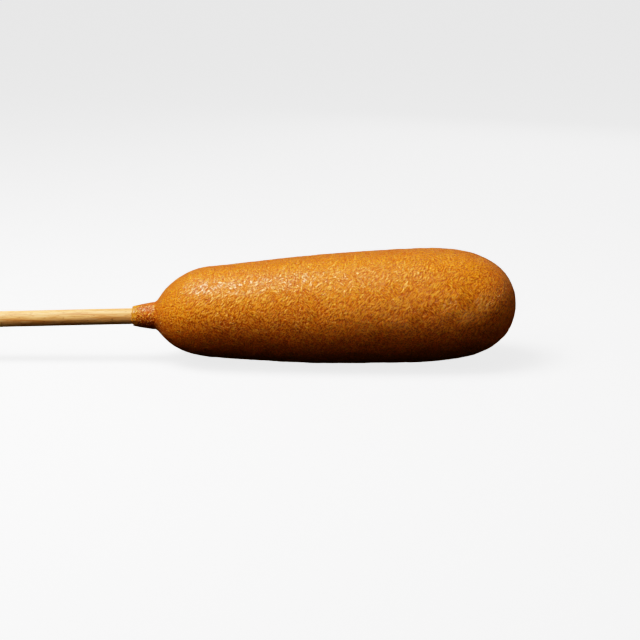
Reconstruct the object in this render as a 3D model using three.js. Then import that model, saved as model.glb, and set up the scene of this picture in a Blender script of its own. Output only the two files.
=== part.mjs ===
// A corn dog lying on its side: a sausage in a thick coat of fried batter, on a round wooden stick.
// Millimetres, +Z up. The bare stick points to -X, the rounded tip to +X, and it rests on z = 0.
import * as THREE from 'three';
import { ImprovedNoise } from 'three/addons/math/ImprovedNoise.js';

// The stick, a turned dowel with an eased handle end and a tapered buried end.
const stickDiameter = 5.56;
const stickLength = 178;
const handleLength = 75;
const handleEase = 0.45;
const taperLength = 9;
const taperEndRadius = 0.9;
const taperEndLength = 0.5;
const stickSides = 32;
const stickSlope = THREE.MathUtils.degToRad(1.34);

// The batter coat, measured along the stick from its mouth, where the stick comes out.
const neckLength = 7.2;
const mouthRadius = 3.42;
const neckSwell = 1.4;
const bodyLength = 125.5;
const bodyRadius = 19.85;
const shoulderRadius = 15.75;
const shoulderLength = 19.5;
const thickestAt = 89;
const tipLength = 40.5;
const junctionRounding = 2.2;
const coatLength = neckLength + bodyLength;

// Powers of the outline's curves: how a cone or a swelling bows, and how blunt each end is.
const neckBow = 0.8;
const barrelBow = 1.69;
const shoulderCurve = { along: 2.2, across: 1.85 };
const tipCurve = { along: 3.5, across: 2.1 };

// The coat hangs a little off centre: it sits higher than the stick, most of all before the tip.
const coatRise = 0.95;
const riseLength = 18;
const humpRise = 0.75;
const humpAt = 103;
const humpLength = 35;

// The belly is pressed flat by this much where the corn dog lies.
const bellyFlat = 0.6;

// The blind hole that the stick fills.
const stickGap = 0.3;
const boreRadius = stickDiameter / 2 + stickGap;
const boreDepth = stickLength - handleLength + stickGap;
const boreSides = 24;
const boreStations = 8;

// Relief of the fried crust: broad lumps, crags with sharp crests, and pebbles between them.
const lumpHeight = 0.3;
const lumpSize = 21;
const cragHeight = 0.16;
const cragSize = 7.5;
const cragSteepness = 3;
const cragMiddle = 0.65;
const pebbleHeight = 0.34;
const pebbleSize = 4.3;
const reliefStart = neckLength * 0.6;
const reliefFull = neckLength + 6;
const lipRaggedness = 0.9;
const lipWaves = 1.4;
const lipLayer = 0.5;

// One soft dent in the upper front, near the tip.
const dent = { along: 108, turn: THREE.MathUtils.degToRad(114), depth: 0.5, size: 4.5 };

// Facet sizes of the coat, finer on the thin neck.
const neckFacet = 0.9;
const bodyFacet = 2;
const rowHeight = Math.sqrt(3) / 2;
const outlineSamples = 4000;
const fewestSides = 6;

const { clamp, lerp, smoothstep } = THREE.MathUtils;
const noise = new ImprovedNoise();

// The larger of two radii, with a fillet where they cross.
function blendedMax(a, b, rounding) {
  const overlap = Math.max(rounding - Math.abs(a - b), 0) / rounding;
  return Math.max(a, b) + overlap * overlap * rounding / 4;
}

// The share of the full radius that is left at a distance from a rounded end, which closes at 0.
function roundedEnd(distance, length, curve) {
  const into = clamp(1 - distance / length, 0, 1);
  return (1 - into ** curve.along) ** (1 / curve.across);
}

// Outer radius of the coat at a distance from its mouth: a thin cone, then the long swelling body.
function coatRadius(along) {
  const neck = mouthRadius + neckSwell * clamp(along / neckLength, 0, 1) ** neckBow;
  const intoBody = Math.max(along - neckLength, 0);
  const beforeThickest = Math.max(thickestAt - intoBody, 0) / (thickestAt - shoulderLength);
  const barrel = bodyRadius - (bodyRadius - shoulderRadius) * beforeThickest ** barrelBow;
  const shoulder = roundedEnd(intoBody, shoulderLength, shoulderCurve);
  const tip = roundedEnd(bodyLength - intoBody, tipLength, tipCurve);
  return blendedMax(barrel * shoulder, neck, junctionRounding) * tip;
}

// Height of the coat's centre above the stick's axis.
function coatOffset(along) {
  const intoBody = along - neckLength;
  const hump = Math.exp(-(((intoBody - humpAt) / humpLength) ** 2));
  return coatRise * smoothstep(intoBody, 0, riseLength) + humpRise * hump;
}

// The coat's outline from mouth to tip, with x along the stick and y as its radius.
class CoatOutline extends THREE.Curve {
  getPoint(t, target = new THREE.Vector2()) {
    const along = coatLength * Math.sin(t * Math.PI / 2);
    return target.set(along, coatRadius(along));
  }
}

// Height of the stick's axis at the mouth that leaves the lowest part of the belly under the floor.
function mouthHeight() {
  let lowest = 0;
  for (let along = 0; along <= coatLength; along += 0.5) {
    const under = coatOffset(along) - coatRadius(along);
    lowest = Math.min(lowest, along * Math.sin(stickSlope) + under * Math.cos(stickSlope));
  }
  return -lowest - bellyFlat;
}
const axisHeight = mouthHeight();

// A point given along the stick's axis, to its side and above it, in the frame of the whole.
function besideAxis(along, side, above) {
  const cos = Math.cos(stickSlope);
  const sin = Math.sin(stickSlope);
  return new THREE.Vector3(along * cos - above * sin, side, axisHeight + along * sin + above * cos);
}

function ripple(point, size) {
  return noise.noise(point.x / size, point.y / size, point.z / size);
}

// How far the crust stands proud at a point of the smooth coat.
function crustRelief(point, along, turn) {
  const lumps = lumpHeight * ripple(point, lumpSize);
  const crags = cragHeight * (cragMiddle - Math.min(Math.abs(ripple(point, cragSize)) * cragSteepness, 1));
  const pebbles = pebbleHeight * ripple(point, pebbleSize);
  const acrossDent = (turn - dent.turn) * bodyRadius;
  const fromDent = Math.hypot(along - dent.along, acrossDent) / dent.size;
  const strength = smoothstep(along, reliefStart, reliefFull);
  return strength * (lumps + crags + pebbles - dent.depth * Math.exp(-fromDent * fromDent));
}

// How far the torn lip at the mouth reaches along the stick, on one side of it.
function lipTear(turn) {
  return lipRaggedness * noise.noise(Math.cos(turn) * lipWaves, Math.sin(turn) * lipWaves, lipLayer);
}

// Collects rings of points from the bottom of the hole to the tip, and closes them into one skin.
class RingSkin {
  constructor() {
    this.points = [];
    this.faces = [];
    this.last = null;
  }

  // A ring is staggered by half a side against its neighbour. One point alone is a pole.
  add(count, pointAt) {
    const stagger = this.last && !this.last.stagger ? 0.5 : 0;
    const ring = { first: this.points.length, count, stagger };
    for (let i = 0; i < count; i++) {
      this.points.push(pointAt((i + stagger) / count * 2 * Math.PI));
    }
    if (this.last) this.stitch(this.last, ring);
    this.last = ring;
  }

  // A band of triangles that goes round two rings at the same rate.
  stitch(near, far) {
    const nearSides = near.count > 1 ? near.count : 0;
    const farSides = far.count > 1 ? far.count : 0;
    let i = 0;
    let j = 0;
    while (i < nearSides || j < farSides) {
      const nearTurn = (i + 1 + near.stagger) / near.count;
      const farTurn = (j + 1 + far.stagger) / far.count;
      const a = near.first + i % near.count;
      const b = far.first + j % far.count;
      if (j === farSides || (i < nearSides && nearTurn <= farTurn)) {
        i += 1;
        this.faces.push(a, near.first + i % near.count, b);
      } else {
        j += 1;
        this.faces.push(a, far.first + j % far.count, b);
      }
    }
  }

  geometry() {
    const result = new THREE.BufferGeometry().setFromPoints(this.points);
    result.setIndex(this.faces);
    result.computeVertexNormals();
    return result;
  }
}

function batterGeometry() {
  const skin = new RingSkin();
  const onBore = (along, turn) => besideAxis(along, boreRadius * Math.cos(turn), boreRadius * Math.sin(turn));
  skin.add(1, () => besideAxis(boreDepth, 0, 0));
  for (let station = boreStations; station >= 1; station--) {
    skin.add(boreSides, (turn) => onBore(boreDepth * station / boreStations, turn));
  }
  skin.add(boreSides, (turn) => onBore(lipTear(turn), turn));

  const outline = new CoatOutline();
  outline.arcLengthDivisions = outlineSamples;
  const outlineLength = outline.getLength();
  let travelled = 0;
  while (travelled < outlineLength - bodyFacet / 2) {
    const at = outline.getPointAt(travelled / outlineLength);
    const heading = outline.getTangentAt(travelled / outlineLength);
    const facet = lerp(neckFacet, bodyFacet, smoothstep(at.x, 0, neckLength + shoulderLength));
    const sides = Math.max(fewestSides, Math.round(2 * Math.PI * at.y / facet));
    skin.add(sides, (turn) => onCrust(at, heading, turn));
    travelled += facet * rowHeight;
  }
  const tip = new THREE.Vector2(coatLength, 0);
  const tipHeading = new THREE.Vector2(0, -1);
  skin.add(1, () => onCrust(tip, tipHeading, 0));
  return skin.geometry();
}

// A point of the outer crust: the outline turned round its centre, lifted by the relief, and
// pressed up to the floor where it would go under.
function onCrust(at, heading, turn) {
  const surface = (along, radius) => {
    const side = radius * Math.cos(turn);
    const above = coatOffset(along) + radius * Math.sin(turn);
    return besideAxis(along, side, above);
  };
  const lift = crustRelief(surface(at.x, at.y), at.x, turn);
  const tear = lipTear(turn) * (1 - clamp(at.x / neckLength, 0, 1)) ** 2;
  const point = surface(at.x + tear - heading.y * lift, at.y + heading.x * lift);
  point.z = Math.max(point.z, 0);
  return point;
}

function stickGeometry() {
  const radius = stickDiameter / 2;
  const outline = [
    [0, 0], [radius - handleEase, 0], [radius, handleEase],
    [radius, stickLength - taperLength], [taperEndRadius, stickLength - taperEndLength], [0, stickLength],
  ];
  const result = new THREE.LatheGeometry(outline.map(([r, y]) => new THREE.Vector2(r, y)), stickSides);
  return result.rotateZ(-Math.PI / 2);
}

const friedBatter = new THREE.MeshStandardMaterial({ color: 0xc67a2c, roughness: 0.55, metalness: 0 });
const paleWood = new THREE.MeshStandardMaterial({ color: 0xe3c08a, roughness: 0.7, metalness: 0 });

const batter = new THREE.Mesh(batterGeometry(), friedBatter);
batter.name = 'batter_coat';

const stick = new THREE.Mesh(stickGeometry(), paleWood);
stick.name = 'stick';
stick.rotation.y = -stickSlope;
stick.position.copy(besideAxis(-handleLength, 0, 0));

const cornDog = new THREE.Group();
cornDog.name = 'corn_dog';
cornDog.add(batter, stick);

// The origin is under the middle of the whole, on the surface that it lies on.
const middle = new THREE.Box3().setFromObject(cornDog).getCenter(new THREE.Vector3());
cornDog.position.set(-middle.x, -middle.y, 0);

export default cornDog;
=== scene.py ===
import math

import bpy
import numpy as np
from mathutils import Euler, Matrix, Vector, noise


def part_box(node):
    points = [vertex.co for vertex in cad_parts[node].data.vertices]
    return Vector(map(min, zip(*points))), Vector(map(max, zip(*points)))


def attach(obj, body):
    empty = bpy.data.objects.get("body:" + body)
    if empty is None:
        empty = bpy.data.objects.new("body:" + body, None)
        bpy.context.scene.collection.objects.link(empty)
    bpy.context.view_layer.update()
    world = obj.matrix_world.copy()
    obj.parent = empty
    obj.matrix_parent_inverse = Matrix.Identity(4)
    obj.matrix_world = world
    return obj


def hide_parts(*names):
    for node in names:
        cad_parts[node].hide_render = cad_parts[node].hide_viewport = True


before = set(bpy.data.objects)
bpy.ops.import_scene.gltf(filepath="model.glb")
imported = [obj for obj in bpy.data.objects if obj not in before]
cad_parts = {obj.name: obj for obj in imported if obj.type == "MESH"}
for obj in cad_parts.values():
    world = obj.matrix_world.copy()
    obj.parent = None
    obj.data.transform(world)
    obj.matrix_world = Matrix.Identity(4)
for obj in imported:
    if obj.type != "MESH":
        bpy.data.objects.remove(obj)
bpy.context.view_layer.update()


# The stick is a birch dowel, turned round, sawn off at the handle end and lightly sanded there. The
# sausage is pushed onto it before it is dipped, so most of its length is buried in the batter.
MM = 0.001
STICK_RADIUS = 2.78 * MM
STICK_LENGTH = 178 * MM
HANDLE_LENGTH = 75 * MM
HANDLE_EASE = 0.45 * MM
TAPER_LENGTH = 9 * MM
TAPER_END = 0.9 * MM
SLOPE = math.radians(1.34)

# Its rings: on the sawn end as shares of the radius, round the eased edge, and just past the mouth.
STICK_SIDES = 96
STICK_STEP = 0.9 * MM
END_RINGS = (0.3, 0.6, 0.85)
EASE_STEPS = 4
FINE_PAST_MOUTH = 6 * MM

# Wear of the wood: how deep, how closely it repeats round the stick, and how long its waves are.
OUT_OF_ROUND = {"depth": 0.035 * MM, "round": 3, "length": 14 * MM}
FIBRE_GROOVES = {"depth": 0.03 * MM, "round": 9, "length": 22 * MM}
SAW_MARK_DEPTH = 0.05 * MM
SAW_MARK_SIZE = 0.5 * MM

stick_low, stick_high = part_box("stick")
handle_end = Vector((
    stick_low.x + (STICK_RADIUS - HANDLE_EASE) * math.sin(SLOPE),
    (stick_low.y + stick_high.y) / 2,
    stick_low.z + STICK_RADIUS * math.cos(SLOPE),
))


def beside_axis(along, side, above):
    """Points given along the stick from the mouth of the batter, to its side and above its axis."""
    from_end = along + HANDLE_LENGTH
    x = handle_end.x + from_end * math.cos(SLOPE) - above * math.sin(SLOPE)
    z = handle_end.z + from_end * math.sin(SLOPE) + above * math.cos(SLOPE)
    return np.stack([x, handle_end.y + side, z], axis=-1)


def ripple(points, size, shift=(0, 0, 0)):
    """Smooth noise of about -1 to 1 at each point, with waves of the given size."""
    placed = np.asarray(points) / size + np.asarray(shift)
    return np.array([noise.noise(Vector(p)) for p in placed])


def ring_faces(first, second):
    """The band of triangles between two rings, each given as (first vertex, count, stagger)."""
    start_a, count_a, stagger_a = first
    start_b, count_b, stagger_b = second
    sides_a = count_a if count_a > 1 else 0
    sides_b = count_b if count_b > 1 else 0
    faces = []
    i = j = 0
    while i < sides_a or j < sides_b:
        turn_a = (i + 1 + stagger_a) / count_a
        turn_b = (j + 1 + stagger_b) / count_b
        a = start_a + i % count_a
        b = start_b + j % count_b
        if j == sides_b or (i < sides_a and turn_a <= turn_b):
            i += 1
            faces.append((a, start_a + i % count_a, b))
        else:
            j += 1
            faces.append((a, start_b + j % count_b, b))
    return faces


class RingSkin:
    """A closed skin of rings round the stick's axis. A ring of one point is a pole."""

    def __init__(self):
        self.rows = []
        self.rings = []
        self.faces = []
        self.count = 0

    def add(self, count, *row):
        """One ring, staggered against the last. row holds what is the same all round it."""
        stagger = 0.5 if self.rings and not self.rings[-1][2] else 0
        turns = (np.arange(count) + stagger) / count * 2 * math.pi
        ring = (self.count, count, stagger)
        if self.rings:
            self.faces += ring_faces(self.rings[-1], ring)
        self.rings.append(ring)
        self.rows.append(np.column_stack([turns, np.tile(row, (count, 1))]))
        self.count += count

    def table(self):
        """The turn of each point round the stick, and then its ring's row, one column each."""
        return np.concatenate(self.rows).T


def make_piece(name, points, faces):
    """A smooth-shaded mesh object of these points."""
    mesh = bpy.data.meshes.new(name)
    mesh.from_pydata([tuple(p) for p in points], [], faces)
    mesh.shade_smooth()
    mesh.update()
    piece = bpy.data.objects.new(name, mesh)
    bpy.context.scene.collection.objects.link(piece)
    return piece


def worn(turn, along, wear):
    """How far the wood stands proud at each point."""
    places = [np.cos(turn) * wear["round"], np.sin(turn) * wear["round"], along / wear["length"]]
    return wear["depth"] * ripple(np.stack(places, axis=-1), 1)


def dowel():
    skin = RingSkin()
    start = -HANDLE_LENGTH
    end = STICK_LENGTH - HANDLE_LENGTH
    skin.add(1, start, 0)
    for share in END_RINGS:
        skin.add(STICK_SIDES, start, (STICK_RADIUS - HANDLE_EASE) * share)
    for step in range(EASE_STEPS + 1):
        turn = step / EASE_STEPS * math.pi / 2
        along = start + HANDLE_EASE * (1 - math.cos(turn))
        skin.add(STICK_SIDES, along, STICK_RADIUS - HANDLE_EASE * (1 - math.sin(turn)))
    for step in range(1, round((HANDLE_LENGTH + FINE_PAST_MOUTH) / STICK_STEP)):
        skin.add(STICK_SIDES, start + HANDLE_EASE + step * STICK_STEP, STICK_RADIUS)
    skin.add(STICK_SIDES, end - TAPER_LENGTH, STICK_RADIUS)
    skin.add(STICK_SIDES, end - TAPER_END / 2, TAPER_END)
    skin.add(1, end, 0)
    turn, along, radius = skin.table()

    # The wood is a little out of round, its soft fibres are worn, and the saw has marked its end.
    wear = worn(turn, along, OUT_OF_ROUND) + worn(turn, along, FIBRE_GROOVES)
    on_end = along < start + HANDLE_EASE / 4
    places = np.stack([radius * np.cos(turn), radius * np.sin(turn), along], axis=-1)
    saw_marks = SAW_MARK_DEPTH * np.abs(ripple(places, SAW_MARK_SIZE))
    radius = radius + np.where(radius > 0, wear, 0)
    along = along + np.where(on_end, saw_marks, 0)
    points = beside_axis(along, radius * np.cos(turn), radius * np.sin(turn))
    return make_piece("wood_stick", points, skin.faces)


class Wire:
    """A socket in a material's node tree that can be reckoned with like a number."""

    def __init__(self, tree, socket=None):
        self.tree = tree
        self.socket = socket

    def node(self, kind, settings=None, inputs=None, output=0):
        """Adds a node. Its settings are set first, then its sockets get values or links."""
        node = self.tree.nodes.new(kind)
        for key, value in (settings or {}).items():
            setattr(node, key, value)
        for key, value in (inputs or {}).items():
            if isinstance(value, Wire):
                self.tree.links.new(value.socket, node.inputs[key])
            else:
                node.inputs[key].default_value = value
        return Wire(self.tree, node.outputs[output])

    def math(self, operation, first, second):
        return self.node("ShaderNodeMath", {"operation": operation}, {0: first, 1: second})

    def __add__(self, other):
        return self.math("ADD", self, other)

    def __radd__(self, other):
        return self.math("ADD", other, self)

    def __sub__(self, other):
        return self.math("SUBTRACT", self, other)

    def __rsub__(self, other):
        return self.math("SUBTRACT", other, self)

    def __mul__(self, other):
        return self.math("MULTIPLY", self, other)

    def __rmul__(self, other):
        return self.math("MULTIPLY", other, self)

    def between(self, low, high):
        """0 below low and 1 above high, with an eased slope between."""
        settings = {"interpolation_type": "SMOOTHSTEP"}
        inputs = {"Value": self, "From Min": low, "From Max": high}
        return self.node("ShaderNodeMapRange", settings, inputs)

    def mix(self, first, second):
        """The first colour where this value is 0, the second where it is 1."""
        # Of the node's like-named sockets, inputs 6 and 7 and output 2 are the colours.
        return self.node("ShaderNodeMix", {"data_type": "RGBA"}, {0: self, 6: first, 7: second}, 2)

    def scaled(self, *factors):
        """A vector with each of its parts multiplied."""
        return self.node("ShaderNodeVectorMath", {"operation": "MULTIPLY"}, {0: self, 1: factors})

    def moved(self, other):
        """The sum of two vectors."""
        return self.node("ShaderNodeVectorMath", {"operation": "ADD"}, {0: self, 1: other})

    def drawn_out(self, direction, length):
        """A vector squeezed along a direction, so that marks made from it are that much longer."""
        dot = {"operation": "DOT_PRODUCT"}
        along = self.node("ShaderNodeVectorMath", dot, {0: self, 1: direction}, "Value")
        inputs = {0: direction, "Scale": along * (1 / length - 1)}
        return self.moved(self.node("ShaderNodeVectorMath", {"operation": "SCALE"}, inputs))

    def grain(self, size, detail, roughness=0.5, output=0):
        """Noise at this vector, which is in metres, with waves of the given size."""
        inputs = {"Vector": self, "Scale": 1 / size, "Detail": detail, "Roughness": roughness}
        return self.node("ShaderNodeTexNoise", {}, inputs, output)

    def bump(self, strength, distance):
        """The surface's normal, tilted as if this value were its height."""
        inputs = {"Strength": strength, "Distance": distance, "Height": self}
        return self.node("ShaderNodeBump", {}, inputs)


def srgb(red, green, blue):
    """A colour given in 0 to 255 as it looks on a screen, as linear light."""
    parts = [value / 255 for value in (red, green, blue)]
    linear = [p / 12.92 if p <= 0.04045 else ((p + 0.055) / 1.055) ** 2.4 for p in parts]
    return (*linear, 1)


def new_finish(name):
    """A material, its shader node, and a wire at the place on the surface, in metres."""
    finish = bpy.data.materials.new(name)
    finish.use_nodes = True
    tree = finish.node_tree
    shader = tree.nodes["Principled BSDF"]
    place = Wire(tree).node("ShaderNodeTexCoord", output="Object")
    return finish, shader, place


def feed(shader, **sockets):
    """Links or sets the shader's sockets. Underscores in a name stand for spaces."""
    for name, value in sockets.items():
        socket = shader.inputs[name.replace("_", " ")]
        if isinstance(value, Wire):
            value.tree.links.new(value.socket, socket)
        else:
            socket.default_value = value


def birch():
    finish, shader, place = new_finish("birch_wood")
    brown_band = srgb(200, 132, 66)
    pale_band = srgb(224, 164, 95)
    brown_line = srgb(176, 108, 46)
    pale_line = srgb(235, 189, 125)
    fleck = srgb(136, 76, 30)
    band_width = 1.3 * MM
    line_width = 0.36 * MM
    fleck_width = 0.3 * MM
    fibre_squeeze = 0.05
    fleck_squeeze = 0.18
    groove_depth = 0.08 * MM

    # Long bands and thin lines of fibre run along the stick, with short dark flecks between them.
    fibres = place.scaled(fibre_squeeze, 1, 1)
    bands = fibres.grain(band_width, 2)
    lines = fibres.grain(line_width, 2, 0.6)
    flecks = place.scaled(fleck_squeeze, 1, 1).grain(fleck_width, 1)
    tone = bands.between(0.36, 0.62).mix(brown_band, pale_band)
    tone = (lines.between(0.5, 0.62) * 0.6).mix(tone, brown_line)
    tone = ((1 - lines).between(0.54, 0.66) * 0.5).mix(tone, pale_line)
    tone = (flecks.between(0.62, 0.7) * 0.6).mix(tone, fleck)
    relief = lines * -0.6 + bands * 0.4
    feed(shader, Base_Color=tone, Roughness=0.5 + bands * 0.25, Specular_IOR_Level=0.35)
    feed(shader, Normal=relief.bump(0.6, groove_depth))
    return finish


stick = dowel()
stick.data.materials.append(birch())
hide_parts("stick")
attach(stick, "root")


# The coat is thick corn batter, fried until it is brown and pebbled. It swells round the hidden sausage
# and runs down the stick as a thin collar that ends in a torn lip. The belly is flat where it lies.
NECK_LENGTH = 7.2 * MM
MOUTH_RADIUS = 3.38 * MM
NECK_SWELL = 1.4 * MM
BODY_LENGTH = 125.5 * MM
BODY_RADIUS = 19.75 * MM
SHOULDER_RADIUS = 15.75 * MM
SHOULDER_LENGTH = 19.5 * MM
THICKEST_AT = 89 * MM
TIP_LENGTH = 40.5 * MM
JUNCTION_ROUNDING = 2.2 * MM
COAT_LENGTH = NECK_LENGTH + BODY_LENGTH

# Powers of the outline's curves: how the cone and the swelling bow, and how blunt each end is.
NECK_BOW = 0.8
BARREL_BOW = 1.69
SHOULDER_CURVE = (2.2, 1.85)
TIP_CURVE = (3.5, 2.1)

# The coat hangs a little higher than the stick, most of all before the tip.
COAT_RISE = 0.95 * MM
RISE_LENGTH = 18 * MM
HUMP_RISE = 0.75 * MM
HUMP_AT = 103 * MM
HUMP_LENGTH = 35 * MM

# The hole that the stick fills. Its rings stand at shares of its depth, and then, where it closes in on
# the stick at the mouth, at distances and radii in millimetres.
STICK_GAP = 0.3 * MM
BORE_RADIUS = STICK_RADIUS + STICK_GAP
BORE_DEPTH = STICK_LENGTH - HANDLE_LENGTH + STICK_GAP
BORE_SIDES = 64
BORE_RINGS = (1, 0.8, 0.6, 0.4, 0.2, 0.1)
MOUTH_RINGS = ((5, 3.08), (3, 2.9), (1.5, 2.76), (0.6, 2.7), (0.15, 2.7))

# Facets of the crust, finer on the thin neck.
BODY_FACET = 0.44 * MM
NECK_FACET = 0.33 * MM
FEWEST_SIDES = 6
OUTLINE_SAMPLES = 6000
HEADING_STEP = 0.05 * MM


def eased(value, low, high):
    share = np.clip((value - low) / (high - low), 0, 1)
    return share * share * (3 - 2 * share)


def rounded_end(distance, length, along_power, across_power):
    """The share of the full radius left at a distance from a rounded end, which closes at 0."""
    into = np.clip(1 - distance / length, 0, 1)
    return (1 - into ** along_power) ** (1 / across_power)


def coat_radius(along):
    neck = MOUTH_RADIUS + NECK_SWELL * np.clip(along / NECK_LENGTH, 0, 1) ** NECK_BOW
    into_body = np.maximum(along - NECK_LENGTH, 0)
    before_thickest = np.maximum(THICKEST_AT - into_body, 0) / (THICKEST_AT - SHOULDER_LENGTH)
    barrel = BODY_RADIUS - (BODY_RADIUS - SHOULDER_RADIUS) * before_thickest ** BARREL_BOW
    body = barrel * rounded_end(into_body, SHOULDER_LENGTH, *SHOULDER_CURVE)
    overlap = np.maximum(JUNCTION_ROUNDING - np.abs(body - neck), 0) / JUNCTION_ROUNDING
    filleted = np.maximum(body, neck) + overlap ** 2 * JUNCTION_ROUNDING / 4
    return filleted * rounded_end(BODY_LENGTH - into_body, TIP_LENGTH, *TIP_CURVE)


def coat_offset(along):
    """Height of the coat's centre above the stick's axis."""
    into_body = along - NECK_LENGTH
    hump = np.exp(-((into_body - HUMP_AT) / HUMP_LENGTH) ** 2)
    return COAT_RISE * eased(into_body, 0, RISE_LENGTH) + HUMP_RISE * hump


def coat_surface(along, radius, turn):
    return beside_axis(along, radius * np.cos(turn), coat_offset(along) + radius * np.sin(turn))


def batter_rings():
    """Rings from the bottom of the stick's hole, out over the lip and along the coat to the tip. Each
    row holds the place along the stick, the radius, the outline's heading, and 1 on the crust."""
    skin = RingSkin()
    skin.add(1, BORE_DEPTH, 0, 0, 0, 0)
    for share in BORE_RINGS:
        skin.add(BORE_SIDES, BORE_DEPTH * share, BORE_RADIUS, 0, 0, 0)
    for along, radius in MOUTH_RINGS:
        skin.add(BORE_SIDES, along * MM, radius * MM, 0, 0, 0)

    along = COAT_LENGTH * np.sin(np.linspace(0, math.pi / 2, OUTLINE_SAMPLES))
    radius = coat_radius(along)
    steps = np.hypot(np.diff(along), np.diff(radius))
    travelled = np.concatenate([[0], np.cumsum(steps)])
    fine_until = NECK_LENGTH + SHOULDER_LENGTH / 2
    at = 0.0
    while at < travelled[-1] - BODY_FACET / 2:
        stations = [at, at - HEADING_STEP, at + HEADING_STEP]
        here, behind, ahead = np.interp(stations, travelled, along)
        reach, reach_behind, reach_ahead = np.interp(stations, travelled, radius)
        run = ahead - behind
        rise = reach_ahead - reach_behind
        length = math.hypot(run, rise)
        facet = NECK_FACET + (BODY_FACET - NECK_FACET) * eased(here, 0, fine_until)
        sides = max(FEWEST_SIDES, round(2 * math.pi * reach / facet))
        skin.add(sides, here, reach, run / length, rise / length, 1)
        at += facet * math.sqrt(3) / 2
    skin.add(1, COAT_LENGTH, 0, 0, -1, 1)
    return skin


# Relief of the crust: how high, how wide, and from which part of the noise, in millimetres.
LUMPS = {"height": 0.22, "size": 21, "shift": (2, 0, 0)}
PEBBLES = {"height": 0.12, "size": 4.3, "shift": (3.1, 0, 0)}
WRINKLES = {"height": 0.07, "size": 2.4, "shift": (0, 9, 0), "middle": 0.45, "steepness": 1.9}
GRAINS = {"height": 0.055, "size": 1.05, "length": 1.4, "middle": 0.6, "roundness": 1.6}
PITS = {"depth": 0.2, "radius": 0.7, "apart": 5.5, "scatter": 11.3, "left_out": 0.35}
DENT = {"along": 108 * MM, "turn": math.radians(114), "depth": 0.45, "size": 4.5 * MM}

# The grains lean up towards the tip in some patches and down in others, and nothing runs straight.
SLANT_UP = Vector((0.62, 0.35, 0.70)).normalized()
SLANT_DOWN = Vector((0.72, -0.30, -0.62)).normalized()
SLANT_PATCH = {"size": 9, "shift": (1, 2, 3), "edge": (0.05, 0.25)}
BEND = {"size": 2.6, "reach": 0.8, "shifts": ((0, 1, 5), (7.7, 1, 5), (15.4, 1, 5))}

# The relief fades out on the collar, where only a share of the close relief is left.
RELIEF_START = NECK_LENGTH * 0.6
BROAD_FULL = NECK_LENGTH + 6 * MM
CLOSE_FULL = NECK_LENGTH + 5 * MM
CLOSE_ON_COLLAR = 0.3

# The torn lip: how far its tears reach, and how closely they stand round the stick.
LIP_TEARS = {"reach": 0.55 * MM, "round": 1.7, "shift": (4, 4, 4)}
LIP_FRAY = {"reach": 0.3 * MM, "round": 5, "shift": (0, 0, 0)}
LIP_FADE_POWER = 3
LIP_INSIDE = 2 * MM

# Where the colour changes: a darker, redder strip of painted shade along the top, in degrees round the
# stick, painted shade on the underside by its sine, and the collar and the lip along the stick.
TOP_SHADE_TURN = 88
TOP_SHADE_WIDTH = 24
TOP_SHADE_CORE = 0.3
UNDERSIDE = (-0.65, 0.25)
COLLAR_END = (NECK_LENGTH * 0.8, NECK_LENGTH + 8 * MM)
LIP_END = (-0.4 * MM, 4.4 * MM)


def drawn_out(points, direction, length):
    """Points squeezed along a direction, so that marks made from them are that much longer."""
    d = np.array(direction)
    return points + np.outer(points @ d, d) * (1 / length - 1)


def leaning_grains(points, direction):
    """Rounded grains of about 0 to 1, parted by creases."""
    squeezed = drawn_out(points, direction, GRAINS["length"]) / GRAINS["size"]
    return np.array([1 - GRAINS["roundness"] * noise.voronoi(Vector(p))[0][0] ** 2 for p in squeezed])


def pit_depths(points):
    """How deep each point lies in one of the scattered pits, from 0 to 1."""
    pits = np.zeros(len(points))
    for index, p in enumerate(points / PITS["apart"]):
        distances, centres = noise.voronoi(Vector(p))
        wanted = noise.cell(centres[0] * PITS["scatter"]) > PITS["left_out"]
        near = distances[0] * PITS["apart"] / PITS["radius"]
        if wanted and near < 1:
            pits[index] = (1 - near * near) ** 2
    return pits


def crust_relief(points, along, turn):
    """How far the crust stands proud, in millimetres, its fine grain, and how deep its pits are."""
    spots = points / MM
    lumps = LUMPS["height"] * ripple(spots, LUMPS["size"], LUMPS["shift"])
    pebbles = PEBBLES["height"] * ripple(spots, PEBBLES["size"], PEBBLES["shift"])
    bend = np.stack([ripple(spots, BEND["size"], shift) for shift in BEND["shifts"]], axis=-1)
    bent = spots + bend * BEND["reach"]
    folds = np.abs(ripple(bent, WRINKLES["size"], WRINKLES["shift"]))
    wrinkles = WRINKLES["height"] * (WRINKLES["middle"] - folds * WRINKLES["steepness"])
    patch = eased(ripple(spots, SLANT_PATCH["size"], SLANT_PATCH["shift"]), *SLANT_PATCH["edge"])
    fine = leaning_grains(bent, SLANT_UP) * (1 - patch) + leaning_grains(bent, SLANT_DOWN) * patch
    pits = pit_depths(bent)
    from_dent = np.hypot(along - DENT["along"], (turn - DENT["turn"]) * BODY_RADIUS) / DENT["size"]
    dent = DENT["depth"] * np.exp(-from_dent ** 2)
    broad = (lumps + pebbles - dent) * eased(along, RELIEF_START, BROAD_FULL)
    close = wrinkles + GRAINS["height"] * (fine - GRAINS["middle"]) - PITS["depth"] * pits
    strength = CLOSE_ON_COLLAR + (1 - CLOSE_ON_COLLAR) * eased(along, RELIEF_START, CLOSE_FULL)
    return broad + close * strength, fine, pits


def torn_lip(turn):
    """How far the lip reaches along the stick at each turn."""
    around = np.stack([np.cos(turn), np.sin(turn), np.zeros(len(turn))], axis=-1)
    return sum(tears["reach"] * ripple(around * tears["round"], 1, tears["shift"])
               for tears in (LIP_TEARS, LIP_FRAY))


def store(piece, name, values):
    """Keeps one number for each vertex, for the material to read."""
    layer = piece.data.attributes.new(name, "FLOAT", "POINT")
    layer.data.foreach_set("value", np.asarray(values, np.float32))


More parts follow.
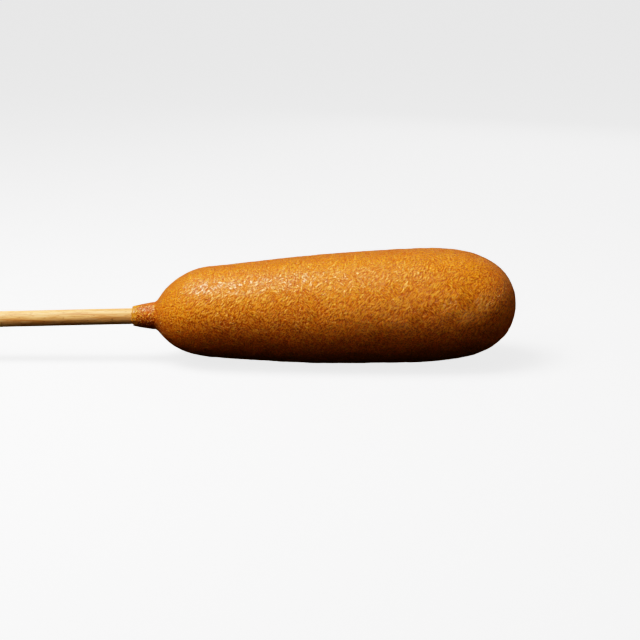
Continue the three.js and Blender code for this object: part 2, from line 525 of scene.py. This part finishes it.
def batter_coat():
    skin = batter_rings()
    turn, along, radius, run, rise, crust = skin.table()
    smooth = coat_surface(along, radius, turn)
    relief, fine, pits = crust_relief(smooth, along, turn)
    lift = relief * MM * crust
    outside = (1 - np.clip(along / NECK_LENGTH, 0, 1)) ** LIP_FADE_POWER
    inside = np.where(along < LIP_INSIDE, 1, 0)
    tear = torn_lip(turn) * np.where(crust > 0, outside, inside)
    in_bore = beside_axis(along + tear, radius * np.cos(turn), radius * np.sin(turn))
    on_crust = coat_surface(along + tear - rise * lift, radius + run * lift, turn)
    points = np.where(crust[:, None] > 0, on_crust, in_bore)
    points[:, 2] = np.maximum(points[:, 2], 0)
    piece = make_piece("fried_batter", points, skin.faces)

    # The top strip and the underside are masks for painted shade; crest and pit drive painted shade and
    # highlight.
    from_top = np.abs((np.degrees(turn) - TOP_SHADE_TURN + 180) % 360 - 180) / TOP_SHADE_WIDTH
    store(piece, "crest", np.clip(fine, 0, 1) * crust)
    store(piece, "pit", pits)
    store(piece, "top_shade", (1 - eased(from_top, TOP_SHADE_CORE, 1)) * crust)
    store(piece, "under", (1 - eased(np.sin(turn), *UNDERSIDE)) * crust)
    store(piece, "collar", 1 - eased(along, *COLLAR_END))
    store(piece, "lip", 1 - eased(along, *LIP_END))
    return piece


def fried_crust():
    finish, shader, place = new_finish("fried_crust")
    crest, pit, collar, lip, top_shade, under = [
        place.node("ShaderNodeAttribute", {"attribute_name": name}, output="Fac")
        for name in ("crest", "pit", "collar", "lip", "top_shade", "under")]
    golden = srgb(228, 117, 6)
    brown = srgb(202, 86, 4)
    hollow_shade = srgb(144, 50, 2)
    pale_highlight = srgb(255, 155, 30)
    top_shade_brown = srgb(168, 70, 12)
    underside_shade_brown = srgb(200, 78, 5)
    collar_brown = srgb(184, 78, 10)
    collar_underside_shade = srgb(124, 38, 3)
    speck_glint = srgb(255, 178, 52)
    raw_lip = srgb(222, 138, 30)
    bend_size = 1.6 * MM
    bend_reach = 0.35 * MM
    patch_size = 9 * MM
    wrinkle_width = 0.42 * MM
    wrinkle_length = 3.2
    crumb_size = 0.4 * MM
    speck_size = 0.6 * MM
    speck_shift = (0.1, 0, 0)
    browning_size = 16 * MM
    blotch_size = 2.6 * MM
    relief_height = 0.34 * MM

    # Slanted wrinkles that lean one way or the other in patches, fine crumb, and raised specks of oil.
    bend = place.grain(bend_size, 1, output="Color").moved((-0.5, -0.5, -0.5))
    bent = place.moved(bend.scaled(bend_reach, bend_reach, bend_reach))
    patch = place.grain(patch_size, 1).between(0.54, 0.6)
    rising = bent.drawn_out(SLANT_UP, wrinkle_length).grain(wrinkle_width, 1)
    falling = bent.drawn_out(SLANT_DOWN, wrinkle_length).grain(wrinkle_width, 1)
    wrinkles = rising * (1 - patch) + falling * patch
    crests = wrinkles.between(0.52, 0.63)
    creases = (1 - wrinkles).between(0.51, 0.62)
    crumb = place.grain(crumb_size, 1)
    specks = bent.moved(speck_shift).grain(speck_size, 1).between(0.61, 0.67)
    relief = crests * 1.2 - creases * 0.3 + crumb * 0.8 + specks * 2.4

    # Golden batter browned in blotches and on the collar; painted shade darkens the top and the
    # underside.
    browning = place.grain(browning_size, 2).between(0.35, 0.68)
    blotches = place.grain(blotch_size, 3, 0.65).between(0.36, 0.66)
    tone = (browning * 0.35 + blotches * 0.45).mix(golden, brown)
    # Painted shade: a darker, redder strip along the top.
    tone = (top_shade * (blotches * 0.4 + 0.3)).mix(tone, top_shade_brown)
    # Painted shade: the underside is redder and darker.
    tone = (under * 0.55).mix(tone, underside_shade_brown)
    tone = (collar * 0.9).mix(tone, collar_brown)
    # Painted shade under the collar.
    tone = (under * collar * 0.7).mix(tone, collar_underside_shade)

    # Painted shade darkens the creases, the pits and the hollows between grains, and painted highlight
    # makes the crests and raised crumb paler; both less on the underside, and the highlight also less on
    # the collar.
    crease_shade_share = 1 - under * 0.5
    crest_highlight_share = crease_shade_share - collar * 0.55
    tone = ((1 - crest).between(0.4, 1.0) * 0.3).mix(tone, hollow_shade)
    tone = (creases * crease_shade_share * 0.75).mix(tone, hollow_shade)
    tone = ((1 - crumb).between(0.52, 0.64) * 0.12).mix(tone, hollow_shade)
    tone = (crests * crest_highlight_share * 0.9).mix(tone, pale_highlight)
    tone = (crumb.between(0.52, 0.64) * crest_highlight_share * 0.2).mix(tone, pale_highlight)
    # Painted highlight: the raised specks of oil are coloured paler, as glints.
    tone = (specks * 0.65).mix(tone, speck_glint)
    tone = (pit * 0.55).mix(tone, hollow_shade)

    # The lip broke open late in the frying, so it stayed pale, with a ragged edge to the colour.
    ragged = (blotches - 0.5) * 0.5 + (crumb - 0.5) * 2.0
    tone = ((lip + ragged).between(0.1, 1.0) * 0.8).mix(tone, raw_lip)

    # Oil lies on the crests and specks, and gives them their sheen.
    oil = (crests * 0.8 + specks * 0.3 + collar * 0.1).between(0, 1)
    feed(shader, Base_Color=tone, Roughness=0.3 - crests * 0.12 - specks * 0.09)
    feed(shader, Coat_Weight=oil, Coat_Roughness=0.42, Coat_IOR=1.5)
    feed(shader, Specular_IOR_Level=0.4, Specular_Tint=(1.0, 0.85, 0.42, 1.0))
    feed(shader, Normal=relief.bump(1.0, relief_height))
    return finish


batter = batter_coat()
batter.data.materials.append(fried_crust())
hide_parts("batter_coat")
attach(batter, "root")


# The floor is a plain sweep of pale paper. It and the room behind it send no light to the crust's
# shading, so the underside stays as dark as in the photograph.
FLOOR_SIZE = 12.0
PAPER_GREY = 0.22
PAPER_GLOW = 1.1
PAPER_ROUGHNESS = 0.9
ROOM_STRENGTH = 0.12
ROOM_BACKWARDS = (0.0, 0.7)
ROOM_UPWARDS = (-0.1, 0.15)

bpy.ops.mesh.primitive_plane_add(size=FLOOR_SIZE, location=(0, 0, 0))
floor = bpy.context.object
floor.name = "floor"
paper = bpy.data.materials.new("pale_paper")
paper.use_nodes = True
paper_shader = paper.node_tree.nodes["Principled BSDF"]
feed(paper_shader, Base_Color=(PAPER_GREY, PAPER_GREY, PAPER_GREY, 1), Roughness=PAPER_ROUGHNESS)
feed(paper_shader, Emission_Color=(1, 1, 1, 1), Emission_Strength=PAPER_GLOW)
floor.data.materials.append(paper)
floor.visible_diffuse = False
floor.visible_glossy = False

room = bpy.data.worlds.new("dim_room")
room.use_nodes = True
bpy.context.scene.world = room
room.cycles_visibility.diffuse = False
bearing = Wire(room.node_tree).node("ShaderNodeTexCoord", output="Generated")
backwards = bearing.node("ShaderNodeSeparateXYZ", {}, {0: bearing}, "Y")
upwards = bearing.node("ShaderNodeSeparateXYZ", {}, {0: bearing}, "Z")
backdrop = backwards.between(*ROOM_BACKWARDS) * upwards.between(*ROOM_UPWARDS)
feed(room.node_tree.nodes["Background"], Color=backdrop, Strength=ROOM_STRENGTH)


# One wide soft lamp overhead on the left shades the batter, and a smaller one beside it gives the sheen.
# The others fill in weakly from the sides, and the floor glows a little under the handle.
LIT_SPOT = Vector((0.035, 0, 0.02))
FLOOR_GLOW_AT = (-0.15, 0, 0.0005)
FLOOR_GLOW_SIZE = (0.08, 0.16)
FLOOR_GLOW_ENERGY = 0.075


def soft_box(name, place, size, energy, shading=True, mirrored=False):
    """A square lamp that looks at the middle of the batter. It shades, or is mirrored, or both."""
    lamp = bpy.data.lights.new(name, "AREA")
    lamp.size = size
    lamp.energy = energy
    light = bpy.data.objects.new(name, lamp)
    light.location = place
    light.visible_diffuse = shading
    light.visible_glossy = mirrored
    light.rotation_euler = (LIT_SPOT - Vector(place)).to_track_quat("-Z", "Y").to_euler()
    bpy.context.scene.collection.objects.link(light)


def floor_glow():
    lamp = bpy.data.lights.new("floor_glow", "AREA")
    lamp.shape = "RECTANGLE"
    lamp.size, lamp.size_y = FLOOR_GLOW_SIZE
    lamp.energy = FLOOR_GLOW_ENERGY
    light = bpy.data.objects.new("floor_glow", lamp)
    light.location = FLOOR_GLOW_AT
    light.rotation_euler = (math.pi, 0, 0)
    light.visible_camera = False
    light.visible_glossy = False
    bpy.context.scene.collection.objects.link(light)


soft_box("overhead", (-0.15, -0.02, 0.45), size=0.24, energy=3.9)
soft_box("overhead_bulb", (-0.155, -0.06, 0.44), size=0.18, energy=4.2, shading=False, mirrored=True)
soft_box("upper_left", (-0.28, -0.20, 0.40), size=0.35, energy=2.2)
soft_box("top", (0.06, -0.03, 0.50), size=0.18, energy=0.5)
soft_box("front_fill", (-0.02, -0.50, 0.25), size=0.40, energy=0.32)
soft_box("back_fill", (0.20, 0.45, 0.25), size=0.40, energy=0.8)
soft_box("end_fill", (0.50, 0.02, 0.15), size=0.30, energy=0.36)
floor_glow()


# The camera looks down at the photograph's angle through a long lens. The mouth of the batter and the
# middle of the coat fall where they do in the photograph, which is 640 pixels wide.
PIXELS_PER_METRE = 2885
FRAME_PIXELS = 640
MOUTH_PIXEL = 132.5
MIDDLE_PIXEL = 320
AXIS_PIXEL = 308.8
SENSOR = 36.0
LENS = 85.0
PITCH = math.radians(15.8)

middle_along = np.array((MIDDLE_PIXEL - MOUTH_PIXEL) / PIXELS_PER_METRE)
middle = Vector(beside_axis(middle_along, 0, coat_offset(middle_along)))
up = Vector((0, math.sin(PITCH), math.cos(PITCH)))
forward = Vector((0, math.cos(PITCH), -math.sin(PITCH)))
aim = middle - up * (MIDDLE_PIXEL - AXIS_PIXEL) / PIXELS_PER_METRE
distance = FRAME_PIXELS * LENS / SENSOR / PIXELS_PER_METRE
camera_data = bpy.data.cameras.new("camera")
camera_data.lens = LENS
camera_data.sensor_width = SENSOR
camera = bpy.data.objects.new("camera", camera_data)
camera.location = aim - forward * distance
camera.rotation_euler = Euler((math.pi / 2 - PITCH, 0, 0))
bpy.context.scene.collection.objects.link(camera)
bpy.context.scene.camera = camera

# The photograph's tone curve: darks fall away a little faster than light does, and brights flatten.
TONE_POWER = 1.25
TONE_KNEE = 0.7
TONE_WHITE = 2.0
TONE_STEPS = 15
view = bpy.context.scene.view_settings
view.view_transform = "Standard"
view.use_curve_mapping = True
view.curve_mapping.white_level = (TONE_WHITE,) * 3
tone_curve = view.curve_mapping.curves[3]
full = TONE_WHITE ** TONE_POWER
for step in range(1, TONE_STEPS):
    light_in = (step / TONE_STEPS) ** 2
    powered = (light_in * TONE_WHITE) ** TONE_POWER
    tone_curve.points.new(light_in, powered / (powered + TONE_KNEE) * (full + TONE_KNEE) / full)
view.curve_mapping.update()
